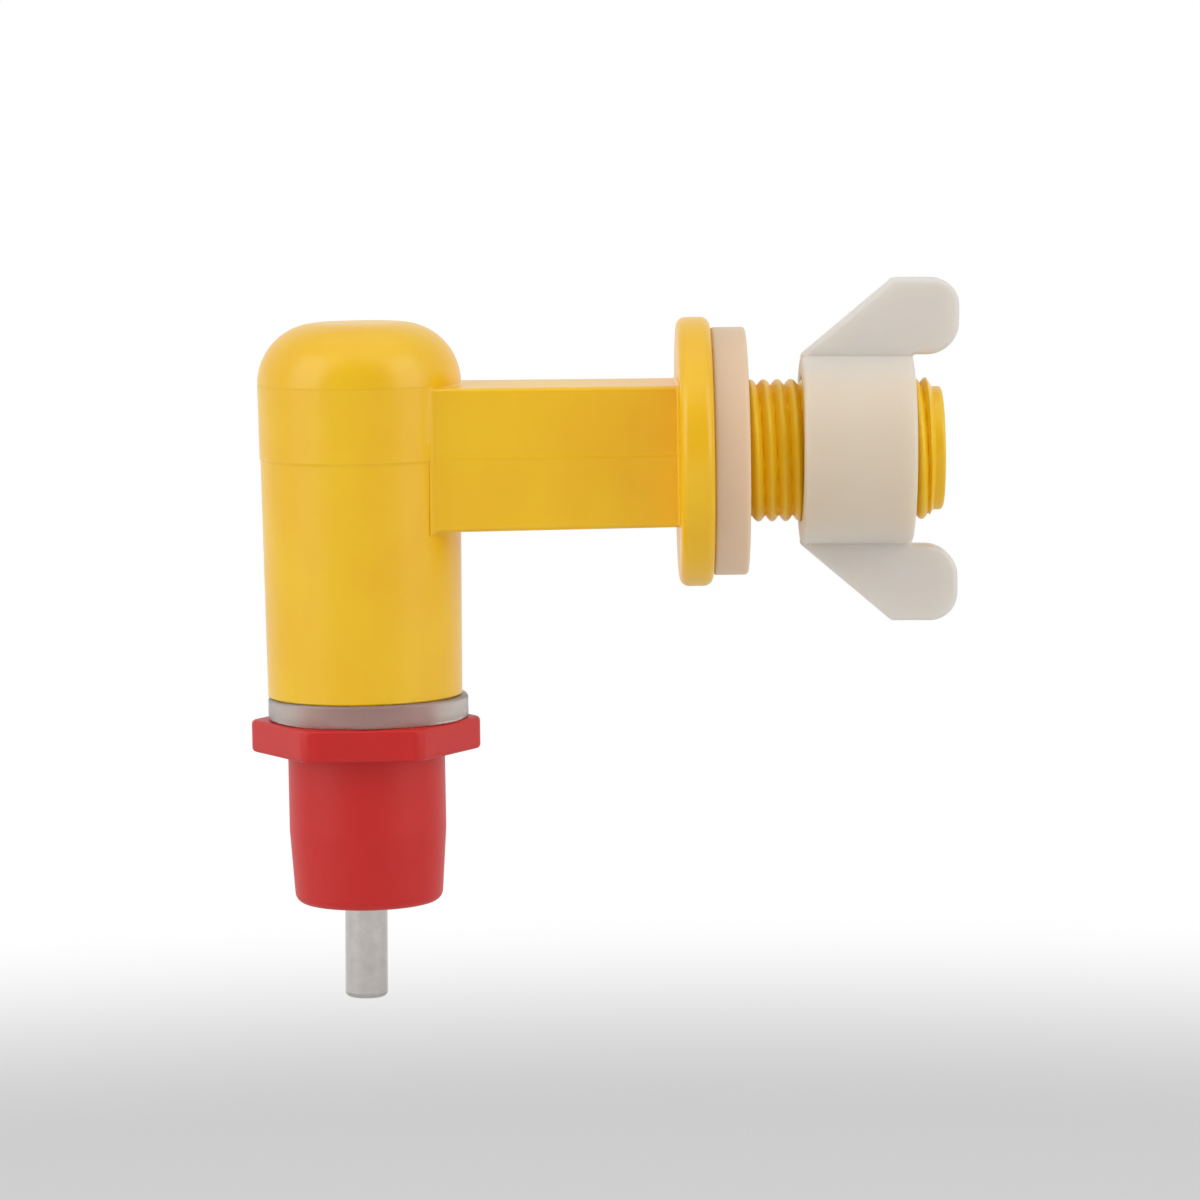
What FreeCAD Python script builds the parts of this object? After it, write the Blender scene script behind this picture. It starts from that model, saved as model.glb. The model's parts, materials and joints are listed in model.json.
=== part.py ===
import FreeCAD, Part
import math
import os

# Poultry nipple drinker: an elbow that clamps through the wall of a bucket or a tank and hangs a
# nipple valve with a steel trigger pin from its far end.
# Millimetres, +Z up. The origin is the centre of the washer's sealing face, on the axis of the tail.
# +X runs out along the threaded tail, and the barrel stands at -X.

# Elbow: flange, arm and barrel, one moulding
flange_radius = 12.38
flange_thickness = 3.1
flange_edge_break = 0.55
arm_length = 29.15           # from the flange's front face to the axis of the barrel
arm_height = 13.1            # at the barrel
arm_depth = 13.0             # at the barrel
arm_draft = 0.23             # what the height and the depth lose between the barrel and the flange
arm_edge_radius = 0.4
barrel_top_radius = 9.38
barrel_foot_radius = 9.0
barrel_rise = 11.9           # from the tail's axis up to the flat top
barrel_drop = 22.0           # from the tail's axis down to the open foot
barrel_crown_radius = 5.6
barrel_foot_break = 0.2
arm_root_radius = 0.8        # where the arm runs into the barrel

# Tail with its round-crested thread
tail_length = 18.0           # from the washer's sealing face
thread_radius = 6.55
thread_depth = 0.62
thread_pitch = 1.25
thread_crest = 0.28          # width of the land on each crest
shank_radius = 6.3           # under the washer
nose_length = 0.9            # plain end of the tail
nose_radius = 5.68
nose_chamfer = 0.35

# Water way
passage_radius = 4.0
chamber_radius = 5.5         # in the barrel, above the nipple
chamber_roof_break = 1.5
chamber_rise = 8.2           # from the tail's axis up to the chamber's flat roof

# Washer and wing nut on the tail
washer_radius = 11.4
washer_thickness = 3.22
washer_edge_break = 0.3
washer_bore_gap = 0.15
nut_gap = 4.97               # from the washer to the nut as it stands on the tail
nut_length = 10.24
nut_radius = 8.74
nut_bore_gap = 0.1
nut_cant = 0.75              # share of the play in its bore that the nut leans by on the thread
nut_edge_break = 0.3
wing_span = 31.56            # from tip to tip, over both wings
wing_thickness = 2.6
wing_overhang = 4.24         # beyond the hub's outer face
wing_tip_start = 8.4         # where the slanting edge reaches the tip
wing_outer_radius = 2.55     # of the lobe's corner at the tip
wing_lobe_flat = 1.5         # straight stretch down the lobe's side
wing_shoulder_radius = 0.6
wing_edge_break = 0.45

# Nipple housing: neck, hexagon and skirt, one moulding
neck_radius = 6.5
neck_gap = 0.06              # between the neck and the barrel's bore
neck_chamfer = 0.5
neck_room = 0.4              # over the neck, in the barrel's bore
hexagon_flats = 18.6
hexagon_height = 3.0
hexagon_corner_radius = 1.25
hexagon_edge_break = 0.25
skirt_radius = 7.25
skirt_straight = 7.3         # straight stretch below the hexagon
skirt_foot_radius = 6.78
skirt_length = 14.1
skirt_bend_radius = 8.0
skirt_lip_break = 0.65
gasket_thickness = 2.15
gasket_radius = 9.29
gasket_shift = 0.3           # off the barrel's axis, away from true, within its loose bore
gasket_bore_gap = 0.15
gasket_edge_break = 0.2

# Valve inside the housing
pivot_rise = 1.8             # centre of the pin's round head, above the hexagon's top face
head_radius = 3.0
pin_radius = 1.975
pin_reach = 27.85            # from the centre of the head to the tip
pin_chamfer = 0.45
pin_tilt_deg = 7.0           # to each side of the housing's axis
pin_hang_deg = 0.9           # how far towards -X the pin hangs off that axis at rest
pin_lift = 1.2
valve_gap = 0.04             # between moving steel and the seat it rests on
seal_height = 2.0
seal_drop = 1.0              # from the centre of the head down to the seal's top face
throat_gap = 0.06            # between the tilted pin and the seal
mouth_gap = 0.3              # between the tilted pin and the housing
valve_bore_radius = 4.1
press_gap = 0.02             # round what is pressed into a bore
sleeve_side_gap = 0.3        # round the pin's head
sleeve_waist_height = 1.5
sleeve_seat_width = 0.6
stem_radius = 2.4
stem_side_gap = 0.3          # round the stem, in the sleeve's waist
stem_head_radius = 3.5
stem_head_height = 1.4
stem_chamfer = 0.3
cap_thickness = 1.6
cap_ledge = 0.9              # width of the ledge in the neck that carries the cap
cap_boss_radius = 1.5
cap_boss_height = 0.6
cap_port_radius = 0.9
cap_port_count = 4
cap_play = 0.25              # left over the stem's head when it is fully lifted

# Places worked out from the sizes above
origin = FreeCAD.Vector(0, 0, 0)
x_axis = FreeCAD.Vector(1, 0, 0)
y_axis = FreeCAD.Vector(0, 1, 0)
z_axis = FreeCAD.Vector(0, 0, 1)
flange_x = -(washer_thickness + flange_thickness)
barrel_x = flange_x - arm_length
nut_x = nut_gap
nut_end_x = nut_x + nut_length
tip_x = nut_end_x + wing_overhang
barrel_foot_z = -barrel_drop
gasket_foot_z = barrel_foot_z - gasket_thickness
hexagon_foot_z = gasket_foot_z - hexagon_height
skirt_foot_z = hexagon_foot_z - skirt_length
pivot_z = gasket_foot_z + pivot_rise
seal_top_z = pivot_z - seal_drop
seal_foot_z = seal_top_z - seal_height
sleeve_bore_radius = head_radius + sleeve_side_gap
stem_foot_z = pivot_z + head_radius + valve_gap
waist_radius = stem_radius + stem_side_gap
waist_foot_z = stem_foot_z + pin_lift
sleeve_top_z = waist_foot_z + sleeve_waist_height
stem_cone_foot_z = sleeve_top_z - sleeve_seat_width - stem_side_gap + valve_gap * math.sqrt(2)
stem_cone_top_z = stem_cone_foot_z + stem_head_radius - stem_radius
stem_top_z = stem_cone_top_z + stem_head_height
boss_foot_z = stem_top_z + pin_lift + cap_play
cap_foot_z = boss_foot_z + cap_boss_height
neck_top_z = cap_foot_z + cap_thickness
cap_radius = valve_bore_radius + cap_ledge
neck_bore_radius = neck_radius + neck_gap
gasket_bore_radius = neck_radius + gasket_shift + gasket_bore_gap
hexagon_middle_z = hexagon_foot_z + hexagon_height / 2
tilt = math.radians(pin_tilt_deg)
tolerance = 1e-6             # shorter than any edge of the model


def outline(corners, radii=None, breaks=None):
    """Closed wire in the XZ plane through (x, z) corners, some rounded and some cut off flat."""
    corners = [FreeCAD.Vector(x, 0, z) for x, z in corners]
    radii = radii or {}
    breaks = breaks or {}
    pieces = []
    for index, corner in enumerate(corners):
        back = (corners[index - 1] - corner).normalize()
        onward = (corners[(index + 1) % len(corners)] - corner).normalize()
        half = back.getAngle(onward) / 2
        radius = radii.get(index, 0)
        run = radius / math.tan(half) + breaks.get(index, 0)
        start = corner + back * run
        end = corner + onward * run
        middle = corner + (back + onward).normalize() * (radius / math.sin(half) - radius)
        pieces.append((start, middle, end, radius > 0))
    edges = []
    for index, (start, middle, end, is_round) in enumerate(pieces):
        if is_round:
            edges.append(Part.Arc(start, middle, end).toShape())
        elif start.distanceToPoint(end) > tolerance:
            edges.append(Part.LineSegment(start, end).toShape())
        following = pieces[(index + 1) % len(pieces)][0]
        if end.distanceToPoint(following) > tolerance:
            edges.append(Part.LineSegment(end, following).toShape())
    return Part.Wire(edges)


def spun(wire, axis):
    return Part.Face(wire).revolve(origin, axis, 360)


def turned(corners, radii=None, breaks=None):
    """Solid turned about X, from corners given as (place along X, radius)."""
    return spun(outline(corners, radii, breaks), x_axis)


def upright(corners, radii=None, breaks=None):
    """Solid turned about the barrel's axis, from corners given as (radius, height)."""
    solid = spun(outline(corners, radii, breaks), z_axis)
    solid.translate(FreeCAD.Vector(barrel_x, 0, 0))
    return solid


def thread_ridges():
    """Corners (place along X, radius) of the tail's thread, with V roots between the crests."""
    end = tail_length - nose_length
    count = math.ceil(end / thread_pitch)
    flank = (thread_pitch - thread_crest) / 2
    corners = []
    for index in range(count):
        foot = end - (count - index) * thread_pitch
        corners.append((foot, thread_radius - thread_depth))
        corners.append((foot + flank, thread_radius))
        corners.append((foot + flank + thread_crest, thread_radius))
    corners.append((end, nose_radius))
    return corners


def arm_taper(size):
    """Plate in the XZ plane, as high as a size of the arm: it narrows evenly towards the flange."""
    near, far = size / 2, (size - arm_draft) / 2
    wire = outline([(barrel_x, -near), (flange_x, -far), (flange_x, far), (barrel_x, near)])
    plate = Part.Face(wire).extrude(y_axis * arm_height * 2)
    plate.translate(y_axis * -arm_height)
    return plate


def arm():
    """Square bar with draft and rounded long edges, from the barrel's axis to the flange."""
    plan = arm_taper(arm_depth)
    plan.rotate(origin, x_axis, 90)
    bar = arm_taper(arm_height).common(plan)
    long_edges = [edge for edge in bar.Edges if edge.BoundBox.XLength > arm_length / 2]
    return bar.makeFillet(arm_edge_radius, long_edges)


def barrel():
    return upright(
        [(0, barrel_foot_z), (barrel_foot_radius, barrel_foot_z), (barrel_top_radius, barrel_rise),
         (0, barrel_rise)],
        {2: barrel_crown_radius}, {1: barrel_foot_break})


def rooted_arm(post):
    """Barrel and arm in one, with a fillet down both sides where the arm leaves the barrel."""
    joined = post.fuse(arm()).removeSplitter()
    root_x = barrel_x + math.sqrt(barrel_top_radius ** 2 - (arm_depth / 2) ** 2)
    roots = [edge for edge in joined.Edges
             if edge.BoundBox.ZLength > arm_height / 2 and edge.BoundBox.XLength < arm_root_radius
             and abs(edge.CenterOfMass.x - root_x) < arm_root_radius]
    return joined.makeFillet(arm_root_radius, roots)


def flange():
    return turned(
        [(flange_x, 0), (flange_x, flange_radius), (-washer_thickness, flange_radius),
         (-washer_thickness, 0)],
        breaks={1: flange_edge_break, 2: flange_edge_break})


def tail():
    """Shank under the washer, thread and plain nose."""
    ridges = thread_ridges()
    shank_end = ridges[0][0] - (shank_radius - thread_radius + thread_depth)
    corners = [(-washer_thickness, 0), (-washer_thickness, shank_radius), (shank_end, shank_radius)]
    corners += ridges
    corners += [(tail_length, nose_radius), (tail_length, 0)]
    return turned(corners, breaks={len(corners) - 2: nose_chamfer})


def elbow_body():
    solid = rooted_arm(barrel()).fuse([flange(), tail()]).removeSplitter()
    neck_bore = upright(
        [(0, barrel_foot_z), (neck_bore_radius, barrel_foot_z),
         (neck_bore_radius, neck_top_z + neck_room), (0, neck_top_z + neck_room)])
    chamber = upright(
        [(0, neck_top_z), (chamber_radius, neck_top_z), (chamber_radius, chamber_rise), (0, chamber_rise)],
        breaks={2: chamber_roof_break})
    passage = turned(
        [(barrel_x, 0), (barrel_x, passage_radius), (tail_length, passage_radius), (tail_length, 0)])
    return solid.cut([neck_bore, chamber, passage])


def flange_washer():
    bore = thread_radius + washer_bore_gap
    return turned(
        [(-washer_thickness, bore), (-washer_thickness, washer_radius), (0, washer_radius), (0, bore)],
        breaks={1: washer_edge_break, 2: washer_edge_break})


def nut_wing(side):
    """One wing, a plate in the XZ plane: its edge slants out from the rim to a rounded lobe."""
    tip = wing_span / 2
    corners = [(nut_x, 0), (nut_x, nut_radius), (nut_x + wing_tip_start, tip), (tip_x, tip),
               (tip_x, nut_radius), (nut_end_x, nut_radius), (nut_end_x, 0)]
    inner_radius = min(tip - nut_radius - wing_outer_radius - wing_lobe_flat,
                       wing_overhang - wing_edge_break)
    wire = outline(corners, {2: wing_shoulder_radius, 3: wing_outer_radius, 4: inner_radius})
    plate = Part.Face(wire).extrude(FreeCAD.Vector(0, wing_thickness, 0))
    plate.translate(FreeCAD.Vector(0, -wing_thickness / 2, 0))
    rims = [edge for edge in plate.Edges
            if edge.BoundBox.YLength < tolerance and edge.CenterOfMass.z > nut_radius - tolerance]
    plate = plate.makeChamfer(wing_edge_break, rims)
    if side < 0:
        plate.rotate(origin, x_axis, 180)
    return plate


def canted(nut):
    """The nut leans about its middle, by a share of what its bore's play allows."""
    lean = math.degrees(math.asin(nut_cant * 2 * nut_bore_gap / nut_length))
    nut.rotate(FreeCAD.Vector(nut_x + nut_length / 2, 0, 0), y_axis, lean)
    return nut


def wing_nut():
    hub = turned(
        [(nut_x, 0), (nut_x, nut_radius), (nut_end_x, nut_radius), (nut_end_x, 0)],
        breaks={1: nut_edge_break, 2: nut_edge_break})
    bore_radius = thread_radius + nut_bore_gap
    bore = turned([(nut_x, 0), (nut_x, bore_radius), (nut_end_x, bore_radius), (nut_end_x, 0)])
    return canted(hub.fuse([nut_wing(1), nut_wing(-1)]).removeSplitter().cut(bore))


def neck_gasket():
    ring = upright(
        [(gasket_bore_radius, gasket_foot_z), (gasket_radius, gasket_foot_z),
         (gasket_radius, barrel_foot_z), (gasket_bore_radius, barrel_foot_z)],
        breaks={1: gasket_edge_break, 2: gasket_edge_break})
    ring.translate(FreeCAD.Vector(gasket_shift, 0, 0))
    return ring


def hexagon():
    """Hexagon flange with one flat towards -Y and corners towards -X and +X."""
    reach = hexagon_flats / math.sqrt(3)
    corners = [(reach * math.cos(math.radians(60 * k)), reach * math.sin(math.radians(60 * k)))
               for k in range(6)]
    wire = outline(corners, {index: hexagon_corner_radius for index in range(6)})
    wire.rotate(origin, x_axis, 90)
    wire.translate(FreeCAD.Vector(barrel_x, 0, hexagon_foot_z))
    prism = Part.Face(wire).extrude(z_axis * hexagon_height)
    rims = [edge for edge in prism.Edges if edge.BoundBox.ZLength < tolerance]
    return prism.makeChamfer(hexagon_edge_break, rims)


def mouth_radius(z, gap):
    """Radius that clears the pin at a height when it is lifted and tilted all the way."""
    reach = pivot_z + pin_lift - z
    return pin_radius / math.cos(tilt) + reach * math.tan(tilt) + gap


def nipple_housing():
    skirt = upright(
        [(0, hexagon_middle_z), (skirt_radius, hexagon_middle_z),
         (skirt_radius, hexagon_foot_z - skirt_straight), (skirt_foot_radius, skirt_foot_z),
         (0, skirt_foot_z)],
        {2: skirt_bend_radius}, {3: skirt_lip_break})
    neck = upright(
        [(0, hexagon_middle_z), (neck_radius, hexagon_middle_z), (neck_radius, neck_top_z), (0, neck_top_z)],
        breaks={2: neck_chamfer})
    valve_bore = upright(
        [(0, seal_foot_z), (valve_bore_radius, seal_foot_z), (valve_bore_radius, cap_foot_z),
         (cap_radius, cap_foot_z), (cap_radius, neck_top_z), (0, neck_top_z)])
    mouth = upright(
        [(0, skirt_foot_z), (mouth_radius(skirt_foot_z, mouth_gap), skirt_foot_z),
         (mouth_radius(seal_foot_z, mouth_gap), seal_foot_z), (0, seal_foot_z)])
    return hexagon().fuse([skirt, neck]).removeSplitter().cut([valve_bore, mouth])


def pin_seal():
    """Rubber ring: a round cup that takes the pin's head, over a throat that clears the tilted pin."""
    cup_radius = head_radius + valve_gap
    slope = math.tan(tilt)
    width = mouth_radius(pivot_z, throat_gap)
    square = 1 + slope ** 2
    cup_drop = (math.sqrt((width * slope) ** 2 - square * (width ** 2 - cup_radius ** 2))
                - width * slope) / square
    cup_rim = FreeCAD.Vector(math.sqrt(cup_radius ** 2 - seal_drop ** 2), 0, seal_top_z)
    cup_foot = FreeCAD.Vector(math.sqrt(cup_radius ** 2 - cup_drop ** 2), 0, pivot_z - cup_drop)
    middle = (cup_rim + cup_foot) / 2 - FreeCAD.Vector(0, 0, pivot_z)
    middle = middle.normalize() * cup_radius + FreeCAD.Vector(0, 0, pivot_z)
    outer = valve_bore_radius - press_gap
    corners = [cup_foot, FreeCAD.Vector(mouth_radius(seal_foot_z, throat_gap), 0, seal_foot_z),
               FreeCAD.Vector(outer, 0, seal_foot_z), FreeCAD.Vector(outer, 0, seal_top_z), cup_rim]
    edges = [Part.LineSegment(a, b).toShape() for a, b in zip(corners, corners[1:])]
    edges.append(Part.Arc(cup_rim, middle, cup_foot).toShape())
    ring = spun(Part.Wire(edges), z_axis)
    ring.translate(FreeCAD.Vector(barrel_x, 0, 0))
    return ring


def seat_sleeve():
    """Steel sleeve round the pin's head, with the upper stem's cone seat at the top of its waist."""
    outer = valve_bore_radius - press_gap
    seat_foot_z = sleeve_top_z - sleeve_seat_width
    return upright(
        [(sleeve_bore_radius, seal_top_z), (outer, seal_top_z), (outer, sleeve_top_z),
         (waist_radius + sleeve_seat_width, sleeve_top_z), (waist_radius, seat_foot_z),
         (waist_radius, waist_foot_z), (sleeve_bore_radius, waist_foot_z)])


def upper_stem():
    return upright(
        [(0, stem_foot_z), (stem_radius, stem_foot_z), (stem_radius, stem_cone_foot_z),
         (stem_head_radius, stem_cone_top_z), (stem_head_radius, stem_top_z - stem_chamfer),
         (stem_head_radius - stem_chamfer, stem_top_z), (0, stem_top_z)])


def trigger_pin():
    """Steel rod with a ball head that hangs in the seal and tilts about the ball's centre."""
    tip_z = pivot_z - pin_reach
    rod = upright(
        [(0, tip_z), (pin_radius - pin_chamfer, tip_z), (pin_radius, tip_z + pin_chamfer),
         (pin_radius, pivot_z), (0, pivot_z)])
    pivot = FreeCAD.Vector(barrel_x, 0, pivot_z)
    pin = Part.makeSphere(head_radius, pivot).fuse(rod).removeSplitter()
    pin.rotate(pivot, y_axis, pin_hang_deg)
    return pin


def retaining_cap():
    """Cap in the neck's mouth: a ring of water ports round the boss that stops the stem."""
    cap = upright(
        [(0, boss_foot_z), (cap_boss_radius, boss_foot_z), (cap_boss_radius, cap_foot_z),
         (cap_radius - press_gap, cap_foot_z), (cap_radius - press_gap, neck_top_z), (0, neck_top_z)])
    ports = []
    for index in range(cap_port_count):
        angle = 2 * math.pi * index / cap_port_count
        ring = (cap_boss_radius + valve_bore_radius) / 2
        centre = FreeCAD.Vector(barrel_x + ring * math.cos(angle), ring * math.sin(angle), cap_foot_z)
        ports.append(Part.makeCylinder(cap_port_radius, cap_thickness, centre))
    return cap.cut(ports)


nodes = {
    "elbow_body": elbow_body(),
    "flange_washer": flange_washer(),
    "wing_nut": wing_nut(),
    "neck_gasket": neck_gasket(),
    "nipple_housing": nipple_housing(),
    "pin_seal": pin_seal(),
    "seat_sleeve": seat_sleeve(),
    "upper_stem": upper_stem(),
    "trigger_pin": trigger_pin(),
    "retaining_cap": retaining_cap(),
}

os.makedirs("parts", exist_ok=True)
for name, shape in nodes.items():
    shape.exportStep(f"parts/{name}.step")
    box = shape.BoundBox
    print(f"{name}: {len(shape.Solids)} solid, {shape.Volume:.1f} mm3, "
          f"z {box.ZMin:.2f} to {box.ZMax:.2f}, valid {shape.isValid()}")
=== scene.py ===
import json
import math

import bmesh
import bpy
import numpy as np
from mathutils import Matrix, Vector


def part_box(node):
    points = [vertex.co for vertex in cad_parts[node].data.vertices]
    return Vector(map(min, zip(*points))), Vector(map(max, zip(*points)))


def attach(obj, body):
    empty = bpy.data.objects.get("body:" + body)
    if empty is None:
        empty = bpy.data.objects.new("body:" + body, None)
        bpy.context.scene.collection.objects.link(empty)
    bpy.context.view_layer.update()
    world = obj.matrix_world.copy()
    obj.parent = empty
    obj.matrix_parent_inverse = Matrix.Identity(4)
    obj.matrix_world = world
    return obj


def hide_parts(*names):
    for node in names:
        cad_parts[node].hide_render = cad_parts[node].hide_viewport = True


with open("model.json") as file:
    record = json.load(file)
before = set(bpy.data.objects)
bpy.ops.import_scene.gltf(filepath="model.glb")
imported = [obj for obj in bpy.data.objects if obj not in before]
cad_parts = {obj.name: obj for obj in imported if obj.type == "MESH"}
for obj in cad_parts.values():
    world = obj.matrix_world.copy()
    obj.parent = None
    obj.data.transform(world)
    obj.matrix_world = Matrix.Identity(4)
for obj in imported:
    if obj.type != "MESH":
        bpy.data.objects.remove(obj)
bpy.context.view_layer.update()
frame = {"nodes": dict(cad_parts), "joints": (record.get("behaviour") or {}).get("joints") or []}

mm = 0.001
full = 2 * math.pi


# Places taken from the frame, in millimetres

def boxOf(node):
    low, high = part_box(node)
    return np.array(low) / mm, np.array(high) / mm


def jointOf(name):
    return next(joint for joint in frame["joints"] if joint["name"] == name)


elbowLow, elbowHigh = boxOf("elbow_body")
washerLow, washerHigh = boxOf("flange_washer")
nutLow, nutHigh = boxOf("wing_nut")
gasketLow, gasketHigh = boxOf("neck_gasket")
housingLow, housingHigh = boxOf("nipple_housing")
pinPivot = np.array(jointOf("pin_tilt")["pos_m"]) / mm
barrelX = pinPivot[0]


# Camera

view = {
    "turn": 0.535,          # degrees round to the left
    "rise": 5.908,          # degrees above the horizon
    "roll": 0.884,
    "distance": 475.86,
    "lens": 154.713,
    "target": (-13.663, 0, -13.592),
}


def addCamera():
    turn, rise, roll = (math.radians(view[key]) for key in ("turn", "rise", "roll"))
    back = Vector((-math.sin(turn) * math.cos(rise), -math.cos(turn) * math.cos(rise), math.sin(rise)))
    right = Vector((0, 0, 1)).cross(back).normalized()
    up = back.cross(right)
    across = right * math.cos(roll) - up * math.sin(roll)
    upward = right * math.sin(roll) + up * math.cos(roll)
    place = (Vector(view["target"]) + back * view["distance"]) * mm
    camera = bpy.data.objects.new("camera", bpy.data.cameras.new("camera"))
    camera.data.lens = view["lens"]
    camera.data.sensor_width = 36
    camera.data.clip_start = 0.01
    camera.matrix_world = Matrix([
        (across.x, upward.x, back.x, place.x),
        (across.y, upward.y, back.y, place.y),
        (across.z, upward.z, back.z, place.z),
        (0, 0, 0, 1)])
    bpy.context.scene.collection.objects.link(camera)
    bpy.context.scene.camera = camera


addCamera()
print("camera ready")


# Surfaces worked out as grids of points

def grid(points, closed=True):
    # Quads between neighbouring rows and columns. A closed grid joins its last column to its first.
    rows, columns = points.shape[:2]
    index = np.arange(rows * columns).reshape(rows, columns)
    if closed:
        index = np.concatenate([index, index[:, :1]], axis=1)
    faces = np.stack([index[:-1, :-1], index[:-1, 1:], index[1:, 1:], index[1:, :-1]], axis=-1)
    return points.reshape(-1, 3), faces.reshape(-1, 4)


def joined(*parts):
    # Several (points, faces) pairs in one.
    points, faces, start = [], [], 0
    for partPoints, partFaces in parts:
        points.append(partPoints)
        faces.append(partFaces + start)
        start += len(partPoints)
    return np.concatenate(points), np.concatenate(faces)


def closedMesh(name, points, faces, caps=()):
    # Doubled seams and poles are merged and faces point outwards. Caps are many-sided end faces.
    mesh = bpy.data.meshes.new(name)
    mesh.from_pydata((points * mm).tolist(), [], faces.tolist() + list(caps))
    work = bmesh.new()
    work.from_mesh(mesh)
    loose = [vert for vert in work.verts if not vert.link_faces]
    bmesh.ops.delete(work, geom=loose, context="VERTS")
    bmesh.ops.remove_doubles(work, verts=work.verts, dist=2e-7)
    bmesh.ops.recalc_face_normals(work, faces=work.faces)
    work.to_mesh(mesh)
    work.free()
    piece = bpy.data.objects.new(name, mesh)
    bpy.context.scene.collection.objects.link(piece)
    return piece


def finished(piece, crease=35):
    # Smooth shading that leaves flat faces flat and corners sharper than crease sharp
    piece.data.shade_smooth()
    piece.data.set_sharp_from_angle(angle=math.radians(crease))
    flatFaces = piece.modifiers.new("even shading", "WEIGHTED_NORMAL")
    flatFaces.keep_sharp = True
    return piece


def roundedLine(corners, radii=None, steps=6, closed=False):
    # A line through corners, with an arc of the given radius in place of each corner that has one.
    corners = [np.array(corner, float) for corner in corners]
    radii = radii or {}
    line = []
    for number, corner in enumerate(corners):
        radius = radii.get(number, 0)
        if radius == 0:
            line.append(corner[None])
            continue
        back = corners[number - 1] - corner
        onward = corners[(number + 1) % len(corners)] - corner
        back, onward = back / np.linalg.norm(back), onward / np.linalg.norm(onward)
        half = math.acos(np.clip(back @ onward, -1, 1)) / 2
        middle = (back + onward) / np.linalg.norm(back + onward)
        centre = corner + middle * radius / math.sin(half)
        sweep = math.pi / 2 - half
        side = (onward - back) / np.linalg.norm(onward - back)
        angle = np.linspace(-sweep, sweep, steps + 1)[:, None]
        line.append(centre + radius * (np.sin(angle) * side - np.cos(angle) * middle))
    line = np.concatenate(line)
    return np.concatenate([line, line[:1]]) if closed else line


def turnedPoints(profile, axis, place=0.0, count=144, reach=None):
    # Each profile point is (along the axis, radius). Its ring is radius * (cos a, sin a) round the axis.
    angle = np.arange(count) * full / count
    along = np.repeat(profile[:, :1], count, axis=1)
    radius = np.repeat(profile[:, 1:2], count, axis=1)
    if reach is not None:
        along, radius = reach(along, radius, angle[None])
    if axis == "x":
        return np.stack([along, radius * np.cos(angle), radius * np.sin(angle)], axis=-1)
    return np.stack([place + radius * np.cos(angle), radius * np.sin(angle), along], axis=-1)


# Shader maths

class Value:
    # A socket that takes part in sums, so that 1 - mask or noise * 0.2 adds its Math nodes.
    def __init__(self, paint, socket):
        self.paint = paint
        self.socket = socket

    def maths(self, operation, first, second):
        return self.paint.node("ShaderNodeMath", {"operation": operation}, {0: first, 1: second})

    def __add__(self, other):
        return self.maths("ADD", self, other)

    def __sub__(self, other):
        return self.maths("SUBTRACT", self, other)

    def __rsub__(self, other):
        return self.maths("SUBTRACT", other, self)

    def __mul__(self, other):
        return self.maths("MULTIPLY", self, other)

    def __abs__(self):
        return self.maths("ABSOLUTE", self, 0)

    __radd__ = __add__
    __rmul__ = __mul__


class Paint:
    # The nodes of a material or a world, and the one method that adds them.
    def __init__(self, name, group="materials"):
        self.material = getattr(bpy.data, group).new(name)
        self.material.use_nodes = True
        self.tree = self.material.node_tree
        self.tree.nodes.clear()

    def node(self, kind, settings=None, inputs=None, output=0):
        made = self.tree.nodes.new(kind)
        for key, setting in (settings or {}).items():
            setattr(made, key, setting)
        for key, given in (inputs or {}).items():
            if isinstance(given, Value):
                self.tree.links.new(given.socket, made.inputs[key])
            else:
                made.inputs[key].default_value = given
        return Value(self, made.outputs[output]) if len(made.outputs) else None

    def place(self):
        return self.node("ShaderNodeTexCoord", output="Object")

    def noise(self, scale, detail=3, roughness=0.55, stretch=(1, 1, 1), place=None):
        mapped = self.node("ShaderNodeMapping", {}, {"Vector": place or self.place(), "Scale": stretch})
        return self.node("ShaderNodeTexNoise", {}, {
            "Vector": mapped, "Scale": scale, "Detail": detail, "Roughness": roughness})

    def mixed(self, share, first, second):
        return self.node("ShaderNodeMix", {"data_type": "RGBA"}, {0: share, 6: first, 7: second}, output=2)

    def between(self, value, low, high, toLow=0.0, toHigh=1.0):
        return self.node("ShaderNodeMapRange", {"interpolation_type": "SMOOTHSTEP"}, {
            "Value": value, "From Min": low, "From Max": high, "To Min": toLow, "To Max": toHigh})

    def part(self, axis):
        # one coordinate in millimetres
        split = self.node("ShaderNodeSeparateXYZ", {}, {0: self.place()}, output=axis)
        return split * (1 / mm)

    def bump(self, height, strength, distance):
        return self.node("ShaderNodeBump", {}, {
            "Height": height, "Strength": strength, "Distance": distance * mm})

    def finish(self, **sockets):
        # The Principled shader's sockets, named in words: base_color, roughness and so on
        shader = self.node("ShaderNodeBsdfPrincipled", {"subsurface_method": "RANDOM_WALK"}, {
            key.replace("_", " ").title().replace("Ior", "IOR"): given for key, given in sockets.items()})
        self.node("ShaderNodeOutputMaterial", {}, {"Surface": shader})
        return self.material


def colour(red, green, blue):
    # A colour written in the 0-255 steps of a screen, as the shader wants it
    steps = np.array([red, green, blue]) / 255
    linear = np.where(steps <= 0.04045, steps / 12.92, ((steps + 0.055) / 1.055) ** 2.4)
    return (*linear.tolist(), 1.0)


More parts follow.
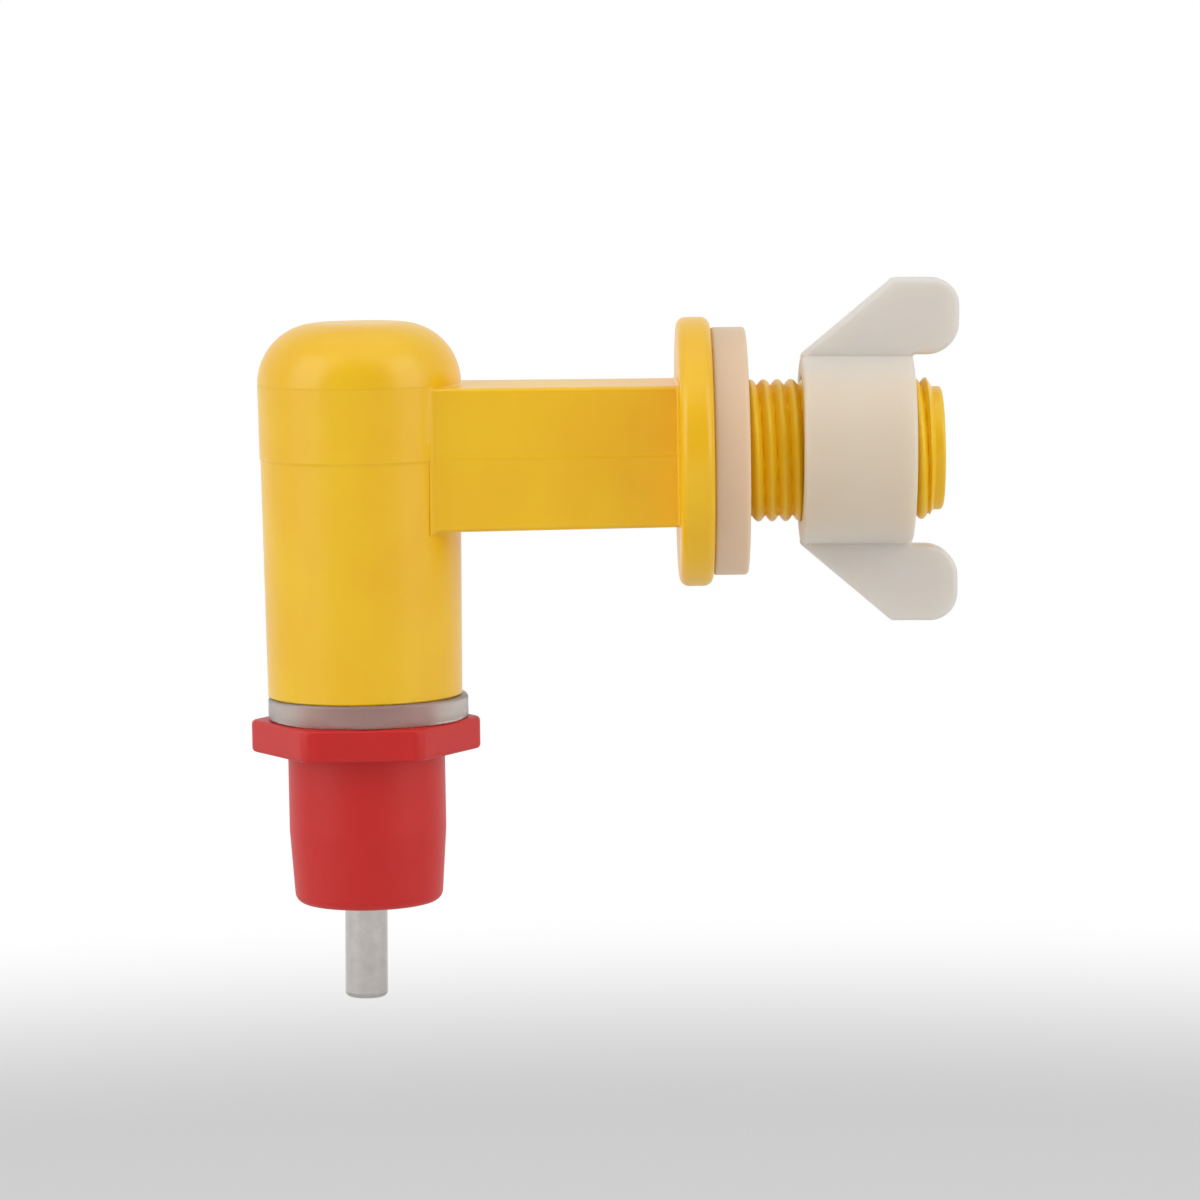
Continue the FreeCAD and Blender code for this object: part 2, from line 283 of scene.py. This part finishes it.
def yellowPlastic():
    paint = Paint("yellow moulded plastic")
    cloud = paint.noise(90, 2, 0.5)
    streak = paint.noise(260, 3, 0.6, (1, 1, 0.15))
    shade = paint.between(cloud + streak * 0.4, 0.4, 1.0)
    base = paint.mixed(shade, colour(247, 190, 8), colour(252, 202, 20))
    skin = paint.noise(1900, 3, 0.6)
    return paint.finish(
        base_color=base, roughness=0.27 + skin * 0.08, ior=1.5, normal=paint.bump(skin, 0.12, 0.02),
        subsurface_weight=0.12, subsurface_radius=(1.0, 0.55, 0.12), subsurface_scale=1.2 * mm)


def redPlastic():
    paint = Paint("red moulded plastic")
    cloud = paint.noise(140, 3, 0.6)
    base = paint.mixed(cloud, colour(196, 20, 16), colour(212, 30, 24))
    skin = paint.noise(2600, 3, 0.6)
    return paint.finish(
        base_color=base, roughness=0.40 + skin * 0.12, ior=1.48, normal=paint.bump(skin, 0.2, 0.02),
        subsurface_weight=0.08, subsurface_radius=(1.0, 0.15, 0.08), subsurface_scale=1.0 * mm)


def milkyPlastic():
    paint = Paint("milky translucent plastic")
    cloud = paint.noise(150, 3, 0.55)
    # Painted light: the hub is tinted warm near the tail's axis, where the yellow thread inside would show
    # through the milky plastic
    paintedThreadGlow = paint.between(abs(paint.part("Z")), 5.5, 9.5, 1.0, 0.0)
    cool = paint.mixed(cloud, colour(222, 216, 208), colour(230, 225, 218))
    paintedThreadTint = paint.mixed(cloud, colour(226, 210, 188), colour(232, 218, 198))
    base = paint.mixed(paintedThreadGlow, cool, paintedThreadTint)
    skin = paint.noise(1700, 3, 0.6)
    return paint.finish(
        base_color=base, roughness=0.36 + skin * 0.1, ior=1.5, normal=paint.bump(skin, 0.15, 0.02),
        subsurface_weight=0.75, subsurface_radius=(1.0, 0.8, 0.6), subsurface_scale=2.6 * mm)


def siliconeRubber():
    paint = Paint("pale silicone rubber")
    cloud = paint.noise(170, 3, 0.55)
    base = paint.mixed(cloud, colour(226, 196, 164), colour(234, 208, 178))
    skin = paint.noise(2200, 3, 0.6)
    return paint.finish(
        base_color=base, roughness=0.42 + skin * 0.12, ior=1.43, normal=paint.bump(skin, 0.15, 0.02),
        subsurface_weight=0.7, subsurface_radius=(1.0, 0.75, 0.55), subsurface_scale=2.0 * mm)


def clearRubber():
    paint = Paint("clear soft rubber")
    cloud = paint.noise(500, 4, 0.6)
    base = paint.mixed(cloud, colour(236, 222, 212), colour(250, 244, 238))
    return paint.finish(
        base_color=base, roughness=0.22 + cloud * 0.3, ior=1.46, transmission_weight=0.82,
        normal=paint.bump(cloud, 0.35, 0.06))


def polishedSteel():
    paint = Paint("polished steel")
    brush = paint.noise(5000, 2, 0.5, (1, 1, 0.02))
    cloud = paint.noise(600, 3, 0.6)
    base = paint.mixed(cloud, colour(176, 170, 165), colour(205, 200, 196))
    return paint.finish(
        base_color=base, metallic=1.0, roughness=0.14 + brush * 0.1, normal=paint.bump(brush, 0.08, 0.01))


def sealRubber():
    paint = Paint("dark seal rubber")
    cloud = paint.noise(900, 3, 0.6)
    base = paint.mixed(cloud, colour(34, 34, 36), colour(52, 52, 54))
    return paint.finish(base_color=base, roughness=0.6 + cloud * 0.15, normal=paint.bump(cloud, 0.2, 0.03))


def whitePlastic():
    paint = Paint("white inner plastic")
    cloud = paint.noise(400, 3, 0.6)
    base = paint.mixed(cloud, colour(222, 222, 218), colour(236, 236, 232))
    return paint.finish(base_color=base, roughness=0.4 + cloud * 0.1, normal=paint.bump(cloud, 0.1, 0.02))


# Elbow: barrel, arm, flange and threaded tail in one closed skin

elbow = {
    "armDepth": 13.0, "armHeight": 13.1, "armDraft": 0.23, "armEdge": 0.4, "rootSide": 0.8, "rootTop": 0.25,
    "barrelTop": 9.38, "barrelFoot": 9.0, "crown": 5.6, "footBreak": 0.25,
    "flangeThick": 3.1, "flangeInner": 10.4, "flangeRadius": 12.38, "flangeEdge": 0.9, "flangeRoot": 0.25,
    "neckBore": 6.56, "neckTop": -10.9, "chamber": 5.5, "roof": 8.2, "roofBreak": 1.5, "passage": 4.0,
    "mouthTop": 4.6, "mouthAngle": 56, "passageEnd": 8.0, "passageEdge": 0.2,
    "shank": 6.3, "thread": 6.55, "threadDepth": 0.62, "pitch": 1.25, "threadPhase": 0.43, "threadEnd": 17.1,
    "threadStart": -1.6, "stepsPerTurn": 14, "crestPower": 0.85, "runOutSlope": 1.6,
    "nose": 5.68, "noseEdge": 0.35,
    "partingStep": 0.04, "partingRidge": 0.035, "partingWidth": 0.1,
    "flatSteps": 30, "cornerSteps": 4, "restSteps": 74, "crownSteps": 16,
}


def sideSteps(half, edge, ridge=False):
    # From -half to half, closer together at the rounded corners and, with ridge, about the middle
    corner = half - edge * (1 - np.tan(np.linspace(math.pi / 4, 0, elbow["cornerSteps"] + 1)))
    corner = corner[::-1]
    middle = np.linspace(0, half - edge, elbow["flatSteps"] // 2 + 1)[1:-1]
    if ridge:
        middle = np.concatenate([[0.07, 0.15, 0.3], middle])
    positive = np.concatenate([middle, np.sort(corner)])
    return np.concatenate([-positive[::-1], [0], positive]) / half


def parting(height):
    # Radius of a moulded wall about the parting plane: a small step with a fine ridge on it
    step = elbow["partingStep"] * np.tanh(height / elbow["partingWidth"])
    return step + elbow["partingRidge"] * np.exp(-(height / elbow["partingWidth"]) ** 2)


def roundedCorners(across, upward, halfAcross, halfUp, edge):
    # Points of a rectangle's outline pulled in onto corners of radius edge
    innerAcross = np.clip(across, -(halfAcross - edge), halfAcross - edge)
    innerUp = np.clip(upward, -(halfUp - edge), halfUp - edge)
    outAcross, outUp = across - innerAcross, upward - innerUp
    reach = np.maximum(np.hypot(outAcross, outUp), 1e-9)
    share = np.where(reach > 1e-6, edge / reach, 0)
    return innerAcross + outAcross * share, innerUp + outUp * share


def makeElbow():
    e = elbow
    halfDepth, halfHeight = e["armDepth"] / 2, e["armHeight"] / 2
    foot, rise = elbowLow[2], elbowHigh[2]
    flangeX = washerLow[0] - e["flangeThick"]
    tailEnd = elbowHigh[0]
    windowTop = halfHeight + e["rootTop"]
    wallRadius = e["barrelTop"]
    windowAngle = math.asin((halfDepth + e["rootSide"]) / (wallRadius + e["rootSide"]))
    innerTop, innerAngle = e["mouthTop"], math.radians(e["mouthAngle"])

    u = sideSteps(halfDepth, e["armEdge"])
    v = sideSteps(halfHeight, e["armEdge"], ridge=True)

    # Rows of the barrel: (radius, height), from the crown's middle down the wall and up the inside
    slope = (e["barrelTop"] - e["barrelFoot"]) / (rise - foot)

    def wall(height):
        return e["barrelFoot"] + slope * (height - foot) + parting(height)

    crownAngle = np.linspace(math.pi / 2, 0, e["crownSteps"] + 1)
    crownFlat = e["barrelTop"] - e["crown"]
    crown = np.stack([crownFlat + e["crown"] * np.cos(crownAngle),
                      rise - e["crown"] + e["crown"] * np.sin(crownAngle)], axis=1)
    crown[:, 0] -= np.linspace(0, e["barrelTop"] - wall(rise - e["crown"]), e["crownSteps"] + 1)
    top = np.array([[0, rise], [crownFlat * 0.5, rise]])
    window = -v * windowTop
    lower = np.linspace(-windowTop, foot + e["footBreak"], 16)[1:]
    breakAngle = np.linspace(0, math.pi / 2, 5)[1:]
    footRound = np.stack([e["barrelFoot"] - e["footBreak"] * (1 - np.cos(breakAngle)),
                          foot + e["footBreak"] * (1 - np.sin(breakAngle))], axis=1)
    outerRows = np.concatenate([
        top, crown, np.stack([wall(window), window], axis=1),
        np.stack([wall(lower), lower], axis=1), footRound])
    inside = np.array([[e["neckBore"], foot], [e["neckBore"], e["neckTop"]], [e["chamber"], e["neckTop"]]])
    innerWindow = v * innerTop
    above = np.array([
        [e["chamber"], e["roof"] - e["roofBreak"]],
        [e["chamber"] - e["roofBreak"], e["roof"]],
        [0, e["roof"]]])
    rows = np.concatenate([
        outerRows, inside, np.stack([np.full(len(v), e["chamber"]), innerWindow], axis=1), above])
    outerFirst = len(top) + len(crown)
    innerFirst = len(outerRows) + len(inside)

    # Columns: a window of len(u) columns towards the arm, then the rest of the way round
    turnShare = np.zeros(len(rows))
    turnShare[len(outerRows):] = 1
    halfTurn = windowAngle + (innerAngle - windowAngle) * turnShare
    inWindow = np.arcsin(u[None] * np.sin(halfTurn)[:, None])
    around = np.linspace(0, 1, e["restSteps"] + 1)[1:-1]
    outWindow = halfTurn[:, None] + (full - 2 * halfTurn[:, None]) * around[None]
    angle = np.concatenate([inWindow, outWindow], axis=1)
    points = np.stack([barrelX + rows[:, :1] * np.cos(angle), rows[:, :1] * np.sin(angle),
                       np.repeat(rows[:, 1:], angle.shape[1], axis=1)], axis=-1)
    wallPoints, wallFaces = grid(points)
    columns = angle.shape[1]
    keep = np.ones((len(rows) - 1, columns), bool)
    keep[outerFirst:outerFirst + len(v) - 1, :len(u) - 1] = False
    keep[innerFirst:innerFirst + len(v) - 1, :len(u) - 1] = False
    barrel = (wallPoints, wallFaces[keep.ravel()])

    # Once round a window's edge, from its lower corner at -Y, as (row, column)
    lastU, lastV = len(u) - 1, len(v) - 1
    edgeU = np.concatenate([np.arange(lastU), np.full(lastV, lastU), np.arange(lastU, 0, -1),
                            np.zeros(lastV, int)])
    edgeV = np.concatenate([np.zeros(lastU, int), np.arange(lastV), np.full(lastU, lastV),
                            np.arange(lastV, 0, -1)])
    ringU, ringV = u[edgeU], v[edgeV]
    outerEdge = points[outerFirst + lastV - edgeV, edgeU]
    innerEdge = points[innerFirst + edgeV, edgeU]

    # Root of the arm: arcs that leave the barrel's wall and end along the arm
    rings = []
    sideWeight = np.clip((np.abs(ringU) - 0.86) / 0.14, 0, 1)
    sideWeight = np.where(np.abs(ringU) > 0.9999, 1, sideWeight ** 2 * (3 - 2 * sideWeight))
    startX = outerEdge[:, 0]
    for share in np.linspace(0, 1, 7)[1:]:
        swing = windowAngle + (math.pi / 2 - windowAngle) * share
        sideX = barrelX + (wallRadius + e["rootSide"]) * math.cos(windowAngle)
        sideX -= e["rootSide"] * math.cos(swing)
        sideY = halfDepth + e["rootSide"] * (1 - math.sin(swing))
        topX = startX + e["rootTop"] * (1 - math.cos(share * math.pi / 2))
        topZ = halfHeight + e["rootTop"] * (1 - math.sin(share * math.pi / 2))
        y, z = roundedCorners(ringU * sideY, ringV * topZ, sideY, topZ, e["armEdge"] * share + 1e-4)
        nominal = barrelX + wallRadius * math.cos(windowAngle)
        startOff = (startX - nominal) * (1 - share) * sideWeight
        x = topX * (1 - sideWeight) + sideX * sideWeight + startOff
        rings.append(np.stack([x, y, z], axis=-1))
    rootX = rings[-1][:, 0]
    onSides = np.abs(ringU) > 0.9999
    ridge = e["partingRidge"] * np.exp(-(ringV * halfHeight / e["partingWidth"]) ** 2) * onSides
    for share in np.linspace(0, 1, 9)[1:]:
        shrink = e["armDraft"] / 2 * share
        x = rootX + (flangeX - e["flangeRoot"] - rootX) * share
        y, z = roundedCorners(ringU * (halfDepth - shrink), ringV * (halfHeight - shrink),
                              halfDepth - shrink, halfHeight - shrink, e["armEdge"])
        rings.append(np.stack([x, y + np.sign(y) * ridge, z], axis=-1))
    endDepth, endHeight = halfDepth - e["armDraft"] / 2, halfHeight - e["armDraft"] / 2
    for swing in np.linspace(0, math.pi / 2, 5)[1:]:
        out = e["flangeRoot"] * (1 - math.cos(swing))
        y, z = roundedCorners(ringU * (endDepth + out), ringV * (endHeight + out),
                              endDepth + out, endHeight + out, e["armEdge"] + out)
        x = np.full(len(ringU), flangeX - e["flangeRoot"] * (1 - math.sin(swing)))
        rings.append(np.stack([x, y, z], axis=-1))

    # Rings round the tail's axis, at even angles that start where the arm's ring starts
    count = len(ringU)
    first = math.atan2(-1, -1)
    evenAngle = first + np.arange(count) * full / count

    def turnedRings(profile):
        return [np.stack([np.full(count, x), radius * np.cos(evenAngle), radius * np.sin(evenAngle)], axis=-1)
                for x, radius in profile]

    flange = roundedLine(
        [(flangeX, e["flangeInner"]), (flangeX, e["flangeRadius"]), (washerLow[0], e["flangeRadius"]),
         (washerLow[0], e["shank"])],
        {1: e["flangeEdge"], 2: e["flangeEdge"]}, 8)[1:]
    rings += turnedRings(np.array([[flangeX, e["flangeInner"]]]))
    rings += turnedRings(flange)

    # Thread: the radius follows |cos| along a helix, so crests are round and roots are sharp
    threadX = np.arange(e["threadStart"], e["threadEnd"], e["pitch"] / e["stepsPerTurn"])
    along, turn = np.meshgrid(threadX, evenAngle - math.pi / 2, indexing="ij")
    phase = (along - e["threadPhase"]) / e["pitch"] - turn / full
    crest = np.abs(np.cos(math.pi * phase))
    radius = e["thread"] - e["threadDepth"] * (1 - crest ** e["crestPower"])
    runOut = (e["threadEnd"] - along) * e["runOutSlope"] + e["nose"]
    radius = np.minimum(radius, runOut)
    threadRings = np.stack([along, radius * np.cos(evenAngle), radius * np.sin(evenAngle)], axis=-1)
    rings += list(threadRings)
    nose = roundedLine(
        [(e["threadEnd"], e["nose"]), (tailEnd, e["nose"]), (tailEnd, e["passage"]),
         (barrelX + e["passageEnd"], e["passage"])],
        {1: e["noseEdge"], 2: e["passageEdge"]}, 5)
    rings += turnedRings(nose)

    # Inner end of the passage, on the chamber's wall, turned to meet the inner window's edge
    y, z = e["passage"] * np.cos(evenAngle), e["passage"] * np.sin(evenAngle)
    rings.append(np.stack([barrelX + np.sqrt(e["chamber"] ** 2 - y ** 2), y, z], axis=-1))
    for share in (0.5, 1.0):
        angleY = np.arcsin(y / e["chamber"]) * (1 - share) + np.arcsin(ringU * math.sin(innerAngle)) * share
        height = z * (1 - share) + ringV * innerTop * share
        across = barrelX + e["chamber"] * np.cos(angleY)
        rings.append(np.stack([across, e["chamber"] * np.sin(angleY), height], axis=-1))
    skin = grid(np.stack([outerEdge] + rings))
    points, faces = joined(barrel, skin)
    return finished(closedMesh("elbow", points, faces))


# Washer

washer = {"edge": 0.35, "bore": 6.7}


def makeWasher():
    # A ring: a rectangle with rounded outer corners, turned about the tail's axis
    radius = washerHigh[2]
    profile = roundedLine(
        [(washerLow[0], washer["bore"]), (washerLow[0], radius), (washerHigh[0], radius),
         (washerHigh[0], washer["bore"])],
        {1: washer["edge"], 2: washer["edge"]}, 5, closed=True)
    return finished(closedMesh("washer", *grid(turnedPoints(profile, "x", count=160))))


# Wing nut

nut = {
    "radius": 8.74, "length": 10.24, "bore": 6.65, "hubEdge": 0.4, "span": 31.56, "thickness": 2.6,
    "overhang": 4.24, "tipStart": 8.4, "outerLobe": 2.55, "shoulder": 0.6, "lobeFlat": 1.5, "edge": 0.5,
    "lean": 0.84, "rootDepth": 0.7, "rootEdge": 0.25, "boreEdge": 0.25,
}


def insetRings(outline, edge, halfThickness, steps=5):
    # Rings of a plate with rounded rims: the outline shrinks by edge * (1 - cos a)
    # as it rises by edge * sin a
    before = outline - np.roll(outline, 1, axis=0)
    after = np.roll(outline, -1, axis=0) - outline
    before /= np.linalg.norm(before, axis=1)[:, None]
    after /= np.linalg.norm(after, axis=1)[:, None]
    tangent = before + after
    tangent /= np.linalg.norm(tangent, axis=1)[:, None]
    inward = np.stack([-tangent[:, 1], tangent[:, 0]], axis=1)
    lengthen = 1 / np.maximum((tangent * before).sum(axis=1), 0.3)
    angle = np.linspace(0, math.pi / 2, steps + 1)
    rings = []
    for swing in angle[::-1]:
        ring = outline + inward * (edge * (1 - math.cos(swing)) * lengthen)[:, None]
        rings.append((ring, halfThickness - edge + edge * math.sin(swing)))
    rings += [(ring, -height) for ring, height in rings[::-1]]
    return rings


def plate(rings):
    # Closed plate: each ring is an outline in XZ and its height along Y, and both ends have a cap
    stack = np.stack([np.stack([ring[:, 0], np.full(len(ring), height), ring[:, 1]], axis=1)
                      for ring, height in rings])
    points, faces = grid(stack)
    count = stack.shape[1]
    return points, faces, [list(range(count)), list(range(len(points) - count, len(points)))]


def makeNut():
    # A turned hub and two flat plates with rounded rims, made one, then leaned about the hub's middle
    n = nut
    middle = (nutLow + nutHigh) / 2
    start = middle[0] - (n["length"] + n["overhang"]) / 2
    end = start + n["length"]
    tip, tipX = n["span"] / 2, end + n["overhang"]
    hubProfile = roundedLine(
        [(start, n["bore"]), (start, n["radius"]), (end, n["radius"]), (end, n["bore"])],
        {0: n["boreEdge"], 1: n["hubEdge"], 2: n["hubEdge"], 3: n["boreEdge"]}, 5, closed=True)
    piece = closedMesh("nut", *grid(turnedPoints(hubProfile, "x", count=168)))
    innerLobe = tip - n["radius"] - n["outerLobe"] - n["lobeFlat"]
    rootZ = n["bore"] + n["rootDepth"]
    outline = roundedLine(
        [(start, rootZ), (start, n["radius"]), (start + n["tipStart"], tip), (tipX, tip), (tipX, n["radius"]),
         (end, n["radius"]), (end, rootZ)],
        {1: n["rootEdge"], 2: n["shoulder"], 3: n["outerLobe"], 4: innerLobe, 5: n["rootEdge"]}, 12)
    for side in (1, -1):
        wing = outline * [1, side]
        wing = wing if side < 0 else wing[::-1]
        union(piece, closedMesh("wing", *plate(insetRings(wing, n["edge"], n["thickness"] / 2))))
    lean = Matrix.Rotation(math.radians(n["lean"]), 4, "Y")
    centre = Matrix.Translation(Vector(((start + end) / 2 * mm, 0, 0)))
    piece.data.transform(centre @ lean @ centre.inverted())
    return finished(piece)


def union(piece, other):
    # The other piece becomes part of this one, and its inner walls go
    joining = piece.modifiers.new("union", "BOOLEAN")
    joining.operation = "UNION"
    joining.solver = "MANIFOLD"
    joining.object = other
    whole = bpy.data.meshes.new_from_object(piece.evaluated_get(bpy.context.evaluated_depsgraph_get()))
    piece.modifiers.remove(joining)
    piece.data = whole
    bpy.data.objects.remove(other)


# Gasket

gasket = {"edge": 0.35, "bore": 6.95, "wander": 0.12}


def makeGasket():
    centre = (gasketLow[0] + gasketHigh[0]) / 2
    radius = (gasketHigh[0] - gasketLow[0]) / 2
    low, high = gasketLow[2], gasketHigh[2]
    profile = roundedLine(
        [(low, gasket["bore"]), (low, radius), (high, radius), (high, gasket["bore"])],
        {1: gasket["edge"], 2: gasket["edge"]}, 5, closed=True)

    def uneven(along, reach, angle):
        # The rim draws in by wander times a sum of four waves, and the bore stays round
        wave = (np.sin(3 * angle + 0.6) + 0.6 * np.sin(7 * angle + 2.0) + 0.5 * np.sin(13 * angle)
                + 0.4 * np.sin(29 * angle + 1.0)) / 2.5
        outer = (reach - gasket["bore"]) / (radius - gasket["bore"])
        return along, reach - gasket["wander"] * outer * (0.5 + 0.5 * wave)

    return finished(closedMesh("gasket", *grid(turnedPoints(profile, "z", centre, 200, uneven))))


# Nipple housing: neck, hexagon and skirt

housing = {
    "flats": 18.6, "height": 3.0, "corner": 1.25, "edge": 0.4, "skirt": 7.25, "straight": 7.3, "foot": 6.78,
    "bend": 8.0, "lip": 1.0, "mouthEdge": 0.3, "neckEdge": 0.5, "ledge": 0.9, "ledgeDepth": 1.6,
    "neck": 6.5, "mouth": 5.4, "throat": 2.8, "seal": -25.35, "bore": 4.1,
}


def hexagonRing(inset, cornerSteps=8, flatSteps=16):
    # One ring of a hexagon with round corners, as an angle and a radius for each point
    half = housing["flats"] / 2 - inset
    corner = max(housing["corner"] - inset, 0.3)
    reach = half / math.cos(math.pi / 6)
    centreReach = (half - corner) / math.cos(math.pi / 6)
    points = []
    for side in range(6):
        middle = side * full / 6
        centre = centreReach * np.array([math.cos(middle), math.sin(middle)])
        swing = np.linspace(middle - math.pi / 6, middle + math.pi / 6, cornerSteps + 1)
        arc = centre + corner * np.stack([np.cos(swing), np.sin(swing)], axis=1)
        nextMiddle = (side + 1) * full / 6
        nextCentre = centreReach * np.array([math.cos(nextMiddle), math.sin(nextMiddle)])
        nextStart = nextCentre + corner * np.array([math.cos(swing[-1]), math.sin(swing[-1])])
        share = np.linspace(0, 1, flatSteps + 1)[1:-1, None]
        points.append(np.concatenate([arc, arc[-1] + (nextStart - arc[-1]) * share]))
    return np.concatenate(points)


def makeHousing():
    # Rings from the throat down the mouth, up the skirt, over the hexagon and up the neck, then down its bore
    h = housing
    hexTop = gasketLow[2]
    hexFoot = hexTop - h["height"]
    skirtFoot, neckTop = housingLow[2], housingHigh[2]
    base = hexagonRing(0)
    angle = np.arctan2(base[:, 1], base[:, 0])
    count = len(base)
    angle = np.unwrap(angle)
    even = angle[0] + np.arange(count) * full / count

    def circles(profile):
        return [np.stack([barrelX + radius * np.cos(even), radius * np.sin(even), np.full(count, height)],
                         axis=-1) for radius, height in profile]

    def hexagons(profile):
        return [np.concatenate([hexagonRing(inset) + [barrelX, 0], np.full((count, 1), height)], axis=1)
                for inset, height in profile]

    skirt = roundedLine(
        [(h["throat"], h["seal"]), (h["mouth"], skirtFoot), (h["foot"], skirtFoot),
         (h["skirt"], hexFoot - h["straight"]), (h["skirt"], hexFoot)],
        {1: h["mouthEdge"], 2: h["lip"], 3: h["bend"]}, 8)
    swing = np.linspace(0, math.pi / 2, 6)
    lower = np.stack([h["edge"] * (1 - np.sin(swing)), hexFoot + h["edge"] * (1 - np.cos(swing))], axis=1)
    upper = np.stack([h["edge"] * (1 - np.cos(swing)), hexTop - h["edge"] * (1 - np.sin(swing))], axis=1)
    ledge, ledgeZ = h["bore"] + h["ledge"], neckTop - h["ledgeDepth"]
    neck = roundedLine(
        [(h["neck"], hexTop), (h["neck"], neckTop), (ledge, neckTop), (ledge, ledgeZ), (h["bore"], ledgeZ),
         (h["bore"], h["seal"]), (h["throat"], h["seal"])],
        {1: h["neckEdge"]}, 3)
    rings = circles(skirt) + hexagons(lower) + hexagons(upper) + circles(neck)
    return finished(closedMesh("housing", *grid(np.stack(rings))))


# Pin

pin = {"radius": 1.975, "head": 3.0, "reach": 27.85, "edge": 0.5, "hang": 0.9}


def makePin():
    # A ball about the pivot carried down into a rod: radius against height, turned about the barrel's axis
    p = pin
    neckDrop = math.sqrt(p["head"] ** 2 - p["radius"] ** 2)
    swing = np.linspace(math.pi / 2, -math.acos(p["radius"] / p["head"]), 24)
    ball = np.stack([p["head"] * np.sin(swing), p["head"] * np.cos(swing)], axis=1)
    rod = roundedLine(
        [(-neckDrop, p["radius"]), (-p["reach"], p["radius"]), (-p["reach"], 0)], {1: p["edge"]}, 6)
    profile = np.concatenate([ball, rod[1:]])
    profile[:, 0] += pinPivot[2]
    piece = closedMesh("pin", *grid(turnedPoints(profile, "z", barrelX, 96)))
    centre = Matrix.Translation(Vector(pinPivot * mm))
    hang = Matrix.Rotation(math.radians(p["hang"]), 4, "Y")
    piece.data.transform(centre @ hang @ centre.inverted())
    return finished(piece)


finishes = {
    "yellow_plastic": yellowPlastic(), "milky_plastic": milkyPlastic(), "washer_rubber": siliconeRubber(),
    "clear_rubber": clearRubber(), "red_plastic": redPlastic(), "seal_rubber": sealRubber(),
    "steel": polishedSteel(), "white_plastic": whitePlastic(),
}
pieces = [
    (makeElbow, "elbow_body", "drinker", "yellow_plastic"),
    (makeWasher, "flange_washer", "drinker", "washer_rubber"),
    (makeNut, "wing_nut", "nut", "milky_plastic"),
    (makeGasket, "neck_gasket", "drinker", "clear_rubber"),
    (makeHousing, "nipple_housing", "drinker", "red_plastic"),
    (makePin, "trigger_pin", "pin", "steel"),
]
for make, node, body, slot in pieces:
    piece = make()
    piece.data.materials.clear()
    piece.data.materials.append(finishes[slot])
    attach(piece, body)
    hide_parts(node)
    print(piece.name, "made,", len(piece.data.polygons), "faces")

carried = {
    "pin_seal": "seal_rubber", "seat_sleeve": "steel", "upper_stem": "steel", "retaining_cap": "white_plastic",
}
for node, slot in carried.items():
    shown = frame["nodes"][node]
    shown.data.materials.clear()
    shown.data.materials.append(finishes[slot])


# Floor, light and room

studio = {
    "floor": -112.0, "floorSize": 6000.0, "bareRadius": 240.0, "fadeRadius": 420.0,
    "world": 0.42, "darkEnd": (-0.95, -0.55), "darkLevel": 0.12, "aim": -10.0,
    "left": {"turn": -62, "rise": 24, "distance": 900, "width": 620, "height": 900, "watts": 3.2},
    "right": {"turn": 62, "rise": 24, "distance": 900, "width": 620, "height": 900, "watts": 2.8},
    "top": {"turn": 0, "rise": 80, "distance": 900, "width": 900, "height": 900, "watts": 1.5},
}


def addFloor():
    size, height = studio["floorSize"] * mm, studio["floor"] * mm
    mesh = bpy.data.meshes.new("floor")
    corners = [(-size, -size, height), (size, -size, height), (size, size, height), (-size, size, height)]
    mesh.from_pydata(corners, [], [(0, 1, 2, 3)])
    floor = bpy.data.objects.new("floor", mesh)
    bpy.context.scene.collection.objects.link(floor)
    paint = Paint("pale floor")
    away = paint.node("ShaderNodeVectorMath", {"operation": "DISTANCE"},
                      {0: paint.place(), 1: (barrelX * mm / 2, 0, height)}, output="Value")
    far = paint.between(away, studio["bareRadius"] * mm, studio["fadeRadius"] * mm)
    seen = paint.node("ShaderNodeLightPath", output="Is Camera Ray") + paint.node(
        "ShaderNodeLightPath", output="Is Glossy Ray") + paint.node(
        "ShaderNodeLightPath", output="Is Transmission Ray")
    matte = paint.node("ShaderNodeBsdfDiffuse", {}, {"Color": colour(238, 238, 238)})
    glow = paint.node("ShaderNodeEmission", {}, {"Color": (1, 1, 1, 1), "Strength": 1.0})
    both = paint.node("ShaderNodeMixShader", {}, {0: far * seen, 1: matte, 2: glow})
    paint.node("ShaderNodeOutputMaterial", {}, {"Surface": both})
    mesh.materials.append(paint.material)


def addLamp(name):
    lamp = studio[name]
    light = bpy.data.lights.new(name, "AREA")
    light.shape = "RECTANGLE"
    light.size, light.size_y = lamp["width"] * mm, lamp["height"] * mm
    light.energy = lamp["watts"]
    turn, rise = math.radians(lamp["turn"]), math.radians(lamp["rise"])
    out = Vector((math.sin(turn) * math.cos(rise), -math.cos(turn) * math.cos(rise), math.sin(rise)))
    holder = bpy.data.objects.new(name, light)
    holder.location = (Vector((barrelX / 2, 0, studio["aim"])) + out * lamp["distance"]) * mm
    holder.rotation_mode = "QUATERNION"
    holder.rotation_quaternion = out.to_track_quat("Z", "Y")
    bpy.context.scene.collection.objects.link(holder)


def addRoom():
    # White to the eye and in reflections, apart from the dark end of the room behind the camera
    paint = Paint("room", "worlds")
    path = {kind: paint.node("ShaderNodeLightPath", output=f"Is {kind} Ray")
            for kind in ("Camera", "Glossy", "Transmission")}
    direction = paint.node("ShaderNodeTexCoord", output="Generated")
    towardsCamera = paint.node("ShaderNodeSeparateXYZ", {}, {0: direction}, output="Y")
    dark = paint.between(towardsCamera, *studio["darkEnd"], studio["darkLevel"], 1.0)
    strength = (path["Camera"] + path["Transmission"]) + path["Glossy"] * dark + (
        1 - (path["Camera"] + path["Transmission"] + path["Glossy"])) * studio["world"]
    shown = paint.node("ShaderNodeBackground", {}, {"Color": (1, 1, 1, 1), "Strength": strength})
    paint.node("ShaderNodeOutputWorld", {}, {"Surface": shown})
    bpy.context.scene.world = paint.material


addFloor()
for name in ("left", "right", "top"):
    addLamp(name)
addRoom()
bpy.context.scene.view_settings.view_transform = "Standard"
print("floor, lamps and room ready")
